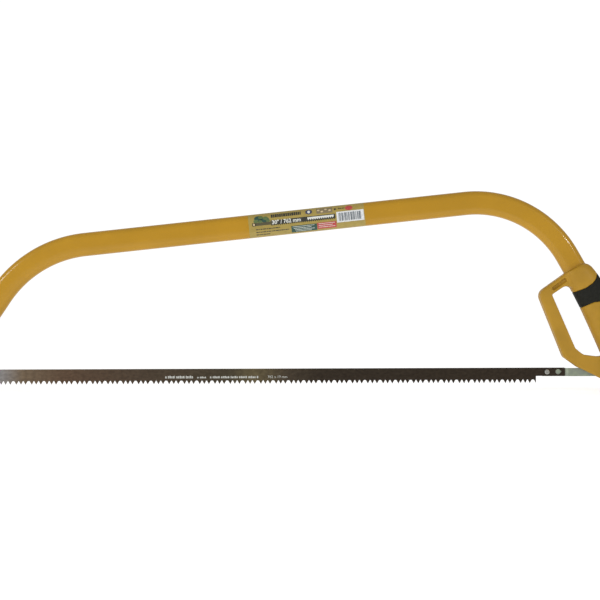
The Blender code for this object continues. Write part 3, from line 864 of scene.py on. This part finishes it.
def printed(name, made, finish, lift, thick=0.02, nodes=()):
    """Lays a flat bmesh of (a, b) millimetres on the tube as a thin layer of the label."""
    for row in range(-16, 17):
        geometry = made.verts[:] + made.edges[:] + made.faces[:]
        bmesh.ops.bisect_plane(
            made, geom=geometry, dist=0.0001, plane_co=(0.0, row, 0.0), plane_no=(0.0, 1.0, 0.0)
        )
    for vert in made.verts:
        vert.co = wrap(vert.co.x, vert.co.y, lift)
    bmesh.ops.recalc_face_normals(made, faces=made.faces)
    for face in made.faces:
        if face.normal.y > 0.0:
            face.normal_flip()
    thing = loose(name, made)
    solid = thing.modifiers.new("layer", "SOLIDIFY")
    solid.thickness = thick * MM
    solid.offset = -1.0
    settle(thing)
    return piece(thing, finish, "frame", nodes, 60.0)


def print_shapes(name, code, lift, oblongs, discs):
    """Prints oblongs and discs of one colour on the label."""
    made = bmesh.new()
    for shape in oblongs:
        oblong(made, *shape)
    for shape in discs:
        disc(made, *shape)
    printed("label_" + name, made, ink(name + "_ink", code), lift)


# Heights of the printed layers over the tube, mm, each above the one that it overlaps.
LOWER_INK = 0.205
UPPER_INK = 0.235
# Discs are (a, b, width, height) and, where it isn't smooth, the number of sides.
BUSHES = ((-60.0, 8.2, 10.0, 7.0), (-52.0, 6.2, 11.0, 6.4))
LEAVES = (
    (-63.0, 5.2, 6.6, 4.4, 12),
    (-57.0, 9.6, 6.0, 4.0, 12),
    (-51.0, 8.0, 6.6, 4.4, 12),
    (-48.0, 4.8, 5.1, 3.4, 12),
    (-58.0, 4.4, 5.4, 3.6, 12),
)
PALE_SPOTS = (
    (-66.0, 1.3, 2.6, 3.0),
    (15.6, 10.6, 3.4, 2.2, 12),
    (19.8, 8.6, 3.4, 2.2, 12),
    (24.6, 11.0, 3.4, 2.2, 12),
    (29.6, 9.4, 3.4, 2.2, 12),
)


class BOWSAW_OT_label(bpy.types.Operator):
    """Lay the printed label round the near side of the tube"""

    bl_idname = "bow_saw.label"
    bl_label = "Label"

    def execute(self, context):
        made = bmesh.new()
        oblong(made, -LABEL_HALF, LABEL_HALF, -LABEL_WRAP, LABEL_WRAP)
        printed("label_film", made, film(), 0.16, 0.12, ["frame_label"])
        self.black_print()
        self.white_print()
        self.colour_print()
        self.barcode()
        return {"FINISHED"}

    def black_print(self):
        made = bmesh.new()
        oblong(made, -45.0, 36.0, -1.0, 4.4)
        tooth = 2.6
        steps = int(81.0 / tooth)
        for index in range(steps):
            a = -45.0 + index * tooth
            polygon(made, [(a + 0.2, -1.0), (a + tooth - 0.2, -1.0), (a + tooth / 2, -2.5)])
        for start, end, b, tall in (
            (-44.0, -6.5, 7.7, 4.2),
            (35.0, 38.0, 8.6, 2.4),
            (40.0, 48.5, 9.6, 1.2),
        ):
            dashes(made, start, end, b, tall, (2.2, 1.8, 2.6, 2.0), 0.45)
        for b, end in ((-5.8, -34.0), (-9.2, -23.0), (-12.4, -47.0)):
            dashes(made, -64.0, end, b, 1.1, (3.1, 1.4, 2.3, 4.0, 1.8), 0.6)
        printed("label_black", made, ink("black_ink", "#2b2b22"), 0.20)

    def white_print(self):
        made = bmesh.new()
        join_flat(made, lettering('30" / 762 mm', 6.6, 0.16), -43.5, -0.3)
        oblong(made, 1.0, 34.0, 1.6, 3.4)
        for index in range(12):
            a = 1.0 + index * 2.75
            polygon(made, [(a, 1.6), (a + 2.5, 1.6), (a + 1.25, -0.2)])
        for row in range(4):
            oblong(made, -18.5 + row * 1.3, 9.0 - (row % 2) * 4.0, -6.8 - row * 1.9, -6.3 - row * 1.9)
        for row in range(3):
            oblong(made, 14.0, 34.5 - (row % 2) * 3.0, -6.4 - row * 2.1, -5.9 - row * 2.1)
        disc(made, 3.4, 10.0, 3.6, 3.6)
        printed("label_white", made, ink("white_ink", "#d9dad2"), 0.24)

    def colour_print(self):
        print_shapes("green", "#24483c", LOWER_INK, [(-20.0, 12.0, -13.8, -5.2)], BUSHES)
        print_shapes("leaf", "#55693a", UPPER_INK, [], LEAVES)
        print_shapes("red", "#b0443f", LOWER_INK, [(12.4, 36.3, -12.6, -4.8)], [(53.6, 9.9, 9.4, 6.0)])
        print_shapes("blue", "#2a2f4e", LOWER_INK, [], [(3.4, 10.0, 9.2, 6.6, 6)])
        print_shapes("scene", "#7d6f50", LOWER_INK, [(13.0, 33.0, 6.4, 13.2)], [])
        print_shapes("bark", "#4f4a30", LOWER_INK, [(-68.0, -43.0, -0.6, 3.2)], [(-66.0, 1.3, 4.2, 4.6)])
        print_shapes("pale", "#c9b48c", UPPER_INK, [], PALE_SPOTS)

    def barcode(self):
        print_shapes("panel", "#d6d8d8", LOWER_INK, [(37.4, 71.5, -7.1, 6.2)], [])
        bars = bmesh.new()
        a = 40.0
        widths = (0.5, 0.9, 0.4, 1.3, 0.5, 0.7, 1.0, 0.4)
        gaps = (0.6, 0.4, 0.9, 0.5, 1.1, 0.4)
        index = 0
        while a < 68.5:
            wide = widths[index % len(widths)]
            oblong(bars, a, a + wide, -5.4, 4.6)
            a += wide + gaps[index % len(gaps)]
            index += 1
        printed("label_bars", bars, ink("bar_ink", "#3e4a56"), UPPER_INK)


# ---------------------------------------------------------------- small steel pieces
def ring_profile(inner, outer, low, high, chamfer=0.2):
    return [
        (inner, low),
        (outer - chamfer, low),
        (outer, low + chamfer),
        (outer, high - chamfer),
        (outer - chamfer, high),
        (inner, high),
    ]


def pin_profile(radius, low, high, chamfer=0.5):
    return ring_profile(0.0, radius, low, high, chamfer)


class BOWSAW_OT_pins(bpy.types.Operator):
    """Turn the toe pin with its clips, the blade peg, the link pin and the pivot fittings"""

    bl_idname = "bow_saw.pins"
    bl_label = "Pins and clips"

    def execute(self, context):
        toe = (0.0, 0.0)
        pin = loose("cross_pin", lathe(toe, pin_profile(2.5, *depth_of("toe_pin"))))
        piece(pin, turned_steel(), "blade", ["toe_pin"])
        for side in ("near", "far"):
            node = "toe_pin_clip_" + side
            clip = loose("clip_" + side, lathe(toe, ring_profile(2.8, 4.7, *depth_of(node))))
            carve(clip, [block(-8.0, 0.0, -0.9, 0.9, 20.0)])
            piece(clip, zinc(), "blade", [node])
        head = 3.05
        profile = [
            (0.0, -1.9),
            (1.1, -2.0),
            (1.5, -2.6),
            (2.4, -2.6),
            (3.1, -1.95),
            (3.1, head),
            (4.3, head),
            (4.7, head + 0.4),
            (4.5, head + 1.2),
            (3.8, head + 1.4),
            (0.0, head + 1.4),
        ]
        peg = loose("strap_peg", lathe(PEG, profile))
        piece(peg, turned_steel(), "blade_link", ["blade_peg"])
        link = loose("crank_pin", lathe(LINK_PIVOT, pin_profile(3.0, -5.6, 5.6)))
        piece(link, turned_steel(), "tension_lever", ["link_pin"])
        for node, finish in (
            ("pivot_stud_near", turned_steel()),
            ("pivot_stud_far", turned_steel()),
            ("pivot_washer_near", nylon()),
            ("pivot_washer_far", nylon()),
        ):
            frame["nodes"][node].data.materials.clear()
            frame["nodes"][node].data.materials.append(finish)
        return {"FINISHED"}


JOGGLE = (771.4, 774.8)
STRAP_OFFSET = 1.75
STRAP_HALF = 1.0


class BOWSAW_OT_strap(bpy.types.Operator):
    """Press the link strap with its joggle behind the blade"""

    bl_idname = "bow_saw.strap"
    bl_label = "Link strap"

    def execute(self, context):
        low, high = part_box("blade_link")
        left, right = ((corner.x - TOE.x) / MM for corner in (low, high))
        start, end = JOGGLE
        centre = [
            (left, STRAP_OFFSET, 0.0),
            (start, STRAP_OFFSET, 1.5),
            (end, 0.0, 1.5),
            (right, 0.0, 0.0),
        ]
        line = rounded(centre + [(right, -30.0, 0.0), (left, -30.0, 0.0)], 96)[:-2]
        outline = [(u, y - STRAP_HALF) for u, y in line]
        outline += [(u, y + STRAP_HALF) for u, y in reversed(line)]
        made = bmesh.new()
        points = [made.verts.new((TOE.x + u * MM, y * MM, low.z)) for u, y in outline]
        thicken(made, [made.faces.new(points)], (0.0, 0.0, high.z - low.z))
        strap = loose("tension_strap", made)
        w_low, w_high = ((z - TOE.z) / MM for z in (low.z, high.z))
        half = (w_high - w_low) / 2
        ends = [
            (left, w_low - 1.0, 4.0),
            (left, w_high + 1.0, 4.0),
            (right, w_high, half * 0.98),
            (right, w_low, half * 0.98),
        ]
        carve(strap, [plate([rounded(ends)], -5.0, 8.0)], "INTERSECT")
        carve(strap, [drum(PEG, PEG_HOLE, -1.0, 6.0), drum(LINK_PIVOT, PIN_BORE, -6.0, 6.0)])
        piece(strap, zinc(), "blade_link", ["blade_link"])
        return {"FINISHED"}


# ---------------------------------------------------------------- lever
class BOWSAW_OT_lever(bpy.types.Operator):
    """Build the tension lever: forked core, ribbed cover and rivets"""

    bl_idname = "bow_saw.lever"
    bl_label = "Tension lever"

    def execute(self, context):
        reach = 87.0
        corners = [
            grip_corner(7.0, -6.5, 5.0),
            grip_corner(-6.5, -6.5, 5.0),
            grip_corner(-11.0, 6.0, 5.0),
            grip_corner(-9.5, 15.5, 4.5),
            grip_corner(2.0, 19.4, 3.0),
            grip_corner(reach, 19.4, 1.0),
            grip_corner(reach, 15.4, 1.0),
            grip_corner(18.0, 15.4, 6.0),
            grip_corner(9.0, 6.0, 4.0),
        ]
        core = loose("lever_fork", soften(plate([rounded(corners)], -4.8, 4.8), 0.4, 2, sharp=60.0))
        carve(
            core,
            [
                grip_block(-30.0, 14.0, -20.0, 14.8, 1.6),
                drum(LEVER_PIVOT, PIN_BORE, -9.0, 9.0),
                drum(LINK_PIVOT, PIN_BORE, -9.0, 9.0),
            ],
        )
        piece(core, zinc(), "tension_lever", ["lever_core"])
        top = 22.6
        corners = [
            grip_corner(7.0, 19.7, 0.6),
            grip_corner(7.0, top, 1.4),
            grip_corner(reach - 4.0, top + 0.6, 5.0),
            grip_corner(reach + 1.5, 19.7, 0.6),
        ]
        cover = loose("lever_pad", soften(plate([rounded(corners)], -6.0, 6.0), 1.2, 4, sharp=60.0))
        ridges = []
        for index in range(7):
            along = 50.0 + index * 4.2
            ridges.append(drum(grip(along, top + 1.9), 1.6, -8.0, 8.0, 24))
        carve(cover, ridges)
        piece(cover, moulded(), "tension_lever", ["lever_cover"])
        lean = Matrix.Rotation(HEEL_ANGLE - HALF_TURN / 2, 4, "Y") @ Matrix.Rotation(-HALF_TURN / 2, 4, "Z")
        for name in ("lever_rivet_lower", "lever_rivet_upper"):
            seat = middle_of(name)
            shape = lathe((0.0, 0.0), pin_profile(2.0, -3.2, 3.2, 0.4), 32)
            bmesh.ops.translate(shape, verts=shape.verts, vec=-at(0.0, 0.0))
            bmesh.ops.transform(shape, matrix=Matrix.Translation(seat) @ lean, verts=shape.verts)
            piece(loose(name + "_pin", shape), turned_steel(), "tension_lever", [name])
        return {"FINISHED"}


# ---------------------------------------------------------------- handle
FOOT = -24.0
BAND_DEPTH = 1.8

# Along the grip from the collar to the heel: the section's finger side, palm side and half thickness.
GRIP_STATIONS = (
    (150.4, -14.9, 12.6, 12.6),
    (149.6, -15.2, 13.6, 13.5),
    (148.0, -15.5, 15.2, 14.1),
    (145.0, -15.9, 17.7, 14.4),
    (141.0, -16.3, 19.4, 14.5),
    (131.0, -17.0, 21.1, 14.5),
    (118.0, -17.5, 22.0, 14.5),
    (103.0, -18.2, 22.3, 14.5),
    (80.0, -20.3, 22.3, 14.5),
    (60.0, -22.3, 22.3, 14.5),
    (43.0, -24.1, 22.3, 14.5),
    (20.0, -26.2, 22.3, 14.5),
    (0.0, -27.6, 22.3, 14.5),
    (-50.0, -30.0, 22.3, 14.5),
)
SECTION_POWER = 2.5


def section(stations, grow=0.0):
    """A body lofted through rounded sections square to the grip's axis."""
    made = bmesh.new()
    ring = bmesh.ops.create_circle(made, cap_ends=False, radius=1.0, segments=96)["verts"]
    home = [vert.co.copy() for vert in ring]
    edges = list(made.edges)
    made.faces.new(ring)
    for index, (along, low, high, half) in enumerate(stations):
        if index:
            drawn = bmesh.ops.extrude_edge_only(made, edges=edges)
            fresh = set(only(drawn["geom"], bmesh.types.BMVert))
            edges = [edge for edge in made.edges if edge.verts[0] in fresh and edge.verts[1] in fresh]
            follow = {}
            for old in ring:
                follow[old] = next(e.other_vert(old) for e in old.link_edges if e.other_vert(old) in fresh)
            ring = [follow[old] for old in ring]
        for vert, unit in zip(ring, home):
            p = math.copysign(abs(unit.x) ** (2 / SECTION_POWER), unit.x)
            q = math.copysign(abs(unit.y) ** (2 / SECTION_POWER), unit.y)
            across = (low + high) / 2 + p * ((high - low) / 2 + grow)
            vert.co = at(*grip(along, across), q * (half + grow))
    made.faces.new(ring)
    bmesh.ops.recalc_face_normals(made, faces=made.faces)
    return made


def grip_solid():
    """The grip: lofted sections, with a flat foot and a rounded heel."""
    reach = (FOOT - LEVER_PIVOT[1] - 22.3 * math.cos(HEEL_ANGLE)) / math.sin(HEEL_ANGLE)
    corners = [
        grip_corner(160.0, -40.0),
        (800.0, FOOT, 0.0),
        grip_corner(reach, 22.4, 12.0),
        grip_corner(160.0, 22.4),
    ]
    body = loose("grip_body", section(GRIP_STATIONS))
    half = sizes().grip_half
    return carve(body, [soften(plate([rounded(corners)], -half, half), 3.0, 4, sharp=60.0)], "INTERSECT")


GUARD_SHOULDER = 5.0
GUARD_RISE = 2.4


def guard_solid():
    outer = [
        grip_corner(149.6, 6.0, 0.0),
        grip_corner(150.2, -14.0, 2.0),
        (736.0, 98.6, 11.0),
        (767.6, 18.8, 6.0),
        (785.0, 6.2, 14.0),
        (846.0, FOOT + 0.4, 12.0),
        (866.0, FOOT + 0.4, 0.0),
    ]
    hole = [
        (753.4, 96.4, 1.5),
        (768.0, 106.0, 4.0),
        (773.5, 107.0, 4.0),
        (788.0, 100.5, 3.0),
        (823.0, 21.0, 6.0),
        (812.0, 18.9, 20.0),
        (792.0, 21.5, 12.0),
        (782.2, 29.5, 5.0),
    ]
    wall = sizes().guard_half - GUARD_RISE
    deep = wall + GUARD_SHOULDER
    made = soften(plate([rounded(outer)], -deep, deep), GUARD_SHOULDER, 6, sharp=60.0)
    for vert in made.verts:
        over = abs(vert.co.y) - wall * MM
        if over > 0.0:
            vert.co.y = math.copysign(wall * MM + over * GUARD_RISE / GUARD_SHOULDER, vert.co.y)
    guard = loose("guard", made)
    return carve(guard, [plate([rounded(hole)], -20.0, 20.0)])


def band_outline(inset=0.0):
    upper = [(125.5, -30), (124.6, -17), (122.8, -2), (123.6, 8.4), (126.3, 15), (131.0, 20.5), (136.0, 30)]
    lower = [(92.5, 30), (94.0, 20), (97.5, 8), (101.8, -2), (102.8, -12), (103.2, -30)]
    points = [grip(along - inset, across) for along, across in upper]
    return points + [grip(along + inset, across) for along, across in lower]


def band_waist(clearance):
    """The grip's body under the rubber band."""
    under = [station for station in GRIP_STATIONS if 70.0 < station[0] < 146.0]
    return section(under, clearance - BAND_DEPTH)


def screw_places():
    """The handle screws' CAD nodes and plan places."""
    places = {}
    for node in sorted(frame["nodes"]):
        if node.startswith("handle_screw") or node == "tube_fixing_screw":
            centre = middle_of(node)
            places[node] = ((centre.x - TOE.x) / MM, (centre.z - TOE.z) / MM)
    return places


def screw_hole(place, tip, seat):
    return lathe(place, [(0.0, 22.0), (3.8, 22.0), (3.8, seat), (2.0, seat), (2.0, tip), (0.0, tip)], 32)


def tube_seat():
    path = bends()[1]
    half_wide = sizes().tube_wide / 2 + 0.3
    half_thick = sizes().tube_thick / 2 + 0.3
    seat = swept_oval(half_wide, half_thick, path[3], 15.5, 1)
    bmesh.ops.holes_fill(seat, edges=[edge for edge in seat.edges if edge.is_boundary], sides=0)
    bmesh.ops.recalc_face_normals(seat, faces=seat.faces)
    return seat


POCKET_FLOOR = 5.0
SCREW_TIP = -4.0


def strut_pocket(side):
    """The long hollow moulded in the guard's strut, open to one side."""
    corners = [
        (755.4, 101.6, 1.0),
        (752.9, 104.6, 1.0),
        (769.8, 117.6, 1.0),
        (772.0, 113.2, 1.0),
    ]
    low, high = sorted((side * POCKET_FLOOR, side * 20.0))
    return plate([rounded(corners)], low, high)


class BOWSAW_OT_handle(bpy.types.Operator):
    """Mould the two handle shells with their guard, and the rubber band"""

    bl_idname = "bow_saw.handle"
    bl_label = "Handle"

    def execute(self, context):
        for name, side in (("near", -1), ("far", 1)):
            shell = guard_solid()
            shell.name = shell.data.name = "grip_shell_" + name
            carve(shell, [grip_solid()], "UNION")
            recess = loose("recess", plate([band_outline()], -25.0, 25.0))
            carve(recess, [band_waist(0.0)])
            low, high = sorted((-side * 60.0, side * 0.15))
            cuts = [
                tube_seat(),
                recess,
                grip_block(-60.0, 90.0, 14.9, 45.0, 6.5),
                grip_block(-60.0, 30.0, -14.0, 16.0, 6.4),
                block(838.0, 910.0, -50.0, 6.0, 6.6),
                block(730.0, 845.0, -45.0, 7.2, 3.4),
                block(728.0, 790.0, -44.0, 16.5, 3.3),
                drum(LEVER_PIVOT, 5.6, -9.9, 9.9),
                strut_pocket(side),
                plate([[(690, -60), (930, -60), (930, 190), (690, 190)]], low, high),
            ]
            for node, place in screw_places().items():
                short = node == "tube_fixing_screw"
                tip, seat = (6.0, 9.7) if short else (SCREW_TIP - 0.2, 5.5)
                cuts.append(screw_hole(place, tip, seat))
            carve(shell, cuts)
            melt(shell, 0.75, 7)
            piece(shell, moulded(), "frame", ["handle_shell_" + name], 60.0)
        band = loose("rubber_band", plate([band_outline(0.3)], -24.0, 24.0))
        carve(band, [grip_solid()], "INTERSECT")
        carve(band, [band_waist(0.3)])
        melt(band, 0.6, 4)
        piece(band, rubber(), "frame", ["grip_band"], 60.0)
        return {"FINISHED"}


CROSS_SLOT = 0.45


class BOWSAW_OT_screws(bpy.types.Operator):
    """Turn the handle's screws with a cross recess in each head"""

    bl_idname = "bow_saw.screws"
    bl_label = "Screws"

    def execute(self, context):
        for node, place in screw_places().items():
            tip, top = depth_of(node)
            tip = max(tip, SCREW_TIP) if node.startswith("handle") else tip
            seat = top - 2.1
            profile = [
                (0.0, tip),
                (1.1, tip),
                (1.7, tip + 0.6),
                (1.7, seat),
                (3.5, seat),
                (3.5, seat + 1.0),
                (3.2, seat + 1.6),
                (2.5, seat + 2.0),
                (1.2, top),
                (0.0, top),
            ]
            screw = loose(node + "_turned", lathe(place, profile, 32))
            u, w = place
            cross = []
            for long, short in ((2.0, CROSS_SLOT), (CROSS_SLOT, 2.0)):
                box = [
                    (u - long, w - short),
                    (u + long, w - short),
                    (u + long, w + short),
                    (u - long, w + short),
                ]
                cross.append(plate([box], seat + 0.7, top + 2.0))
            carve(screw, cross)
            piece(screw, turned_steel(), "frame", [node])
        return {"FINISHED"}


# ---------------------------------------------------------------- stage
CAMERA_AWAY = 1.6
ROOM_LIGHT = 0.5
VIEW_WIDE = 0.750
VIEW_CENTRE = (439.75, 90.75)
VIEW_ROLL = -0.0035
SENSOR = 36.0
FLOOR_GLOW = 0.50
FLOOR_REACH = 40.0
FLOOR_DROP = 0.0006


def area_light(name, place, aim, size, power):
    light = bpy.data.lights.new(name, "AREA")
    light.shape = "RECTANGLE"
    light.size, light.size_y = size
    light.energy = power
    holder = bpy.data.objects.new(name, light)
    holder.location = place
    holder.rotation_euler = (Vector(aim) - Vector(place)).to_track_quat("-Z", "Y").to_euler()
    bpy.context.scene.collection.objects.link(holder)


class BOWSAW_OT_stage(bpy.types.Operator):
    """Set up the white floor, the room's light, the two lamps and the camera"""

    bl_idname = "bow_saw.stage"
    bl_label = "Stage"

    def execute(self, context):
        scene = context.scene
        finish = bpy.data.materials.new("studio_paper")
        finish.use_nodes = True
        shader = finish.node_tree.nodes["Principled BSDF"]
        shader.inputs["Base Color"].default_value = (*colours().floor, 1.0)
        shader.inputs["Roughness"].default_value = 0.9
        shader.inputs["Emission Color"].default_value = (1.0, 1.0, 1.0, 1.0)
        shader.inputs["Emission Strength"].default_value = FLOOR_GLOW
        made = bmesh.new()
        bmesh.ops.create_grid(made, x_segments=1, y_segments=1, size=FLOOR_REACH)
        bmesh.ops.translate(made, verts=made.verts, vec=(0.0, 0.0, -FLOOR_DROP))
        floor = loose("studio_floor", made)
        floor.data.materials.append(finish)
        world = bpy.data.worlds.new("studio")
        world.use_nodes = True
        tree = world.node_tree
        view = add_node(tree, "ShaderNodeTexCoord").outputs["Generated"]
        ahead = add_node(tree, "ShaderNodeSeparateXYZ", {"Vector": view}).outputs["Y"]
        glow = spread(tree, ahead, ROOM_LIGHT, 1.05, 0.55, 0.93)
        tree.links.new(glow, tree.nodes["Background"].inputs["Strength"])
        tree.nodes["Background"].inputs["Color"].default_value = (1.0, 1.0, 1.0, 1.0)
        scene.world = world
        area_light("key", (-1.7, -1.5, 0.7), (0.2, 0.0, 0.08), (0.6, 0.8), 16.0)
        area_light("rim", (1.36, -1.64, 0.72), (0.36, 0.0, 0.16), (0.14, 0.14), 5.0)
        camera = bpy.data.cameras.new("camera")
        camera.sensor_width = SENSOR
        camera.lens = SENSOR * CAMERA_AWAY / VIEW_WIDE
        camera.clip_start = 0.01
        holder = bpy.data.objects.new("camera", camera)
        spot = at(*VIEW_CENTRE) + Vector((0.0, -CAMERA_AWAY, 0.0))
        turn = Matrix.Rotation(HALF_TURN / 2, 4, "X") @ Matrix.Rotation(VIEW_ROLL, 4, "Z")
        holder.matrix_world = Matrix.Translation(spot) @ turn
        scene.collection.objects.link(holder)
        scene.camera = holder
        scene.view_settings.view_transform = "Standard"
        return {"FINISHED"}


class BOWSAW_PT_pieces(bpy.types.Panel):
    """Lists the saw's pieces and the values they are made from"""

    bl_idname = "BOWSAW_PT_pieces"
    bl_label = "Bow saw"
    bl_space_type = "VIEW_3D"
    bl_region_type = "UI"
    bl_category = "Bow saw"

    def draw(self, context):
        for group in (context.scene.bow_saw_sizes, context.scene.bow_saw_colours):
            box = self.layout.box()
            for name in group.__annotations__:
                box.prop(group, name)
        for operator in OPERATORS:
            self.layout.operator(operator.bl_idname)


OPERATORS = (
    BOWSAW_OT_tube,
    BOWSAW_OT_blade,
    BOWSAW_OT_etching,
    BOWSAW_OT_label,
    BOWSAW_OT_pins,
    BOWSAW_OT_strap,
    BOWSAW_OT_lever,
    BOWSAW_OT_handle,
    BOWSAW_OT_screws,
    BOWSAW_OT_stage,
)
CLASSES = (BowSawSizes, BowSawColours, *OPERATORS, BOWSAW_PT_pieces)


def register():
    for kind in CLASSES:
        bpy.utils.register_class(kind)
    bpy.types.Scene.bow_saw_sizes = bpy.props.PointerProperty(type=BowSawSizes)
    bpy.types.Scene.bow_saw_colours = bpy.props.PointerProperty(type=BowSawColours)


def unregister():
    del bpy.types.Scene.bow_saw_colours
    del bpy.types.Scene.bow_saw_sizes
    for kind in reversed(CLASSES):
        bpy.utils.unregister_class(kind)


def main():
    register()
    bpy.ops.bow_saw.tube()
    bpy.ops.bow_saw.blade()
    bpy.ops.bow_saw.etching()
    bpy.ops.bow_saw.label()
    bpy.ops.bow_saw.pins()
    bpy.ops.bow_saw.strap()
    bpy.ops.bow_saw.lever()
    bpy.ops.bow_saw.handle()
    bpy.ops.bow_saw.screws()
    bpy.ops.bow_saw.stage()


if __name__ == "__main__":
    main()
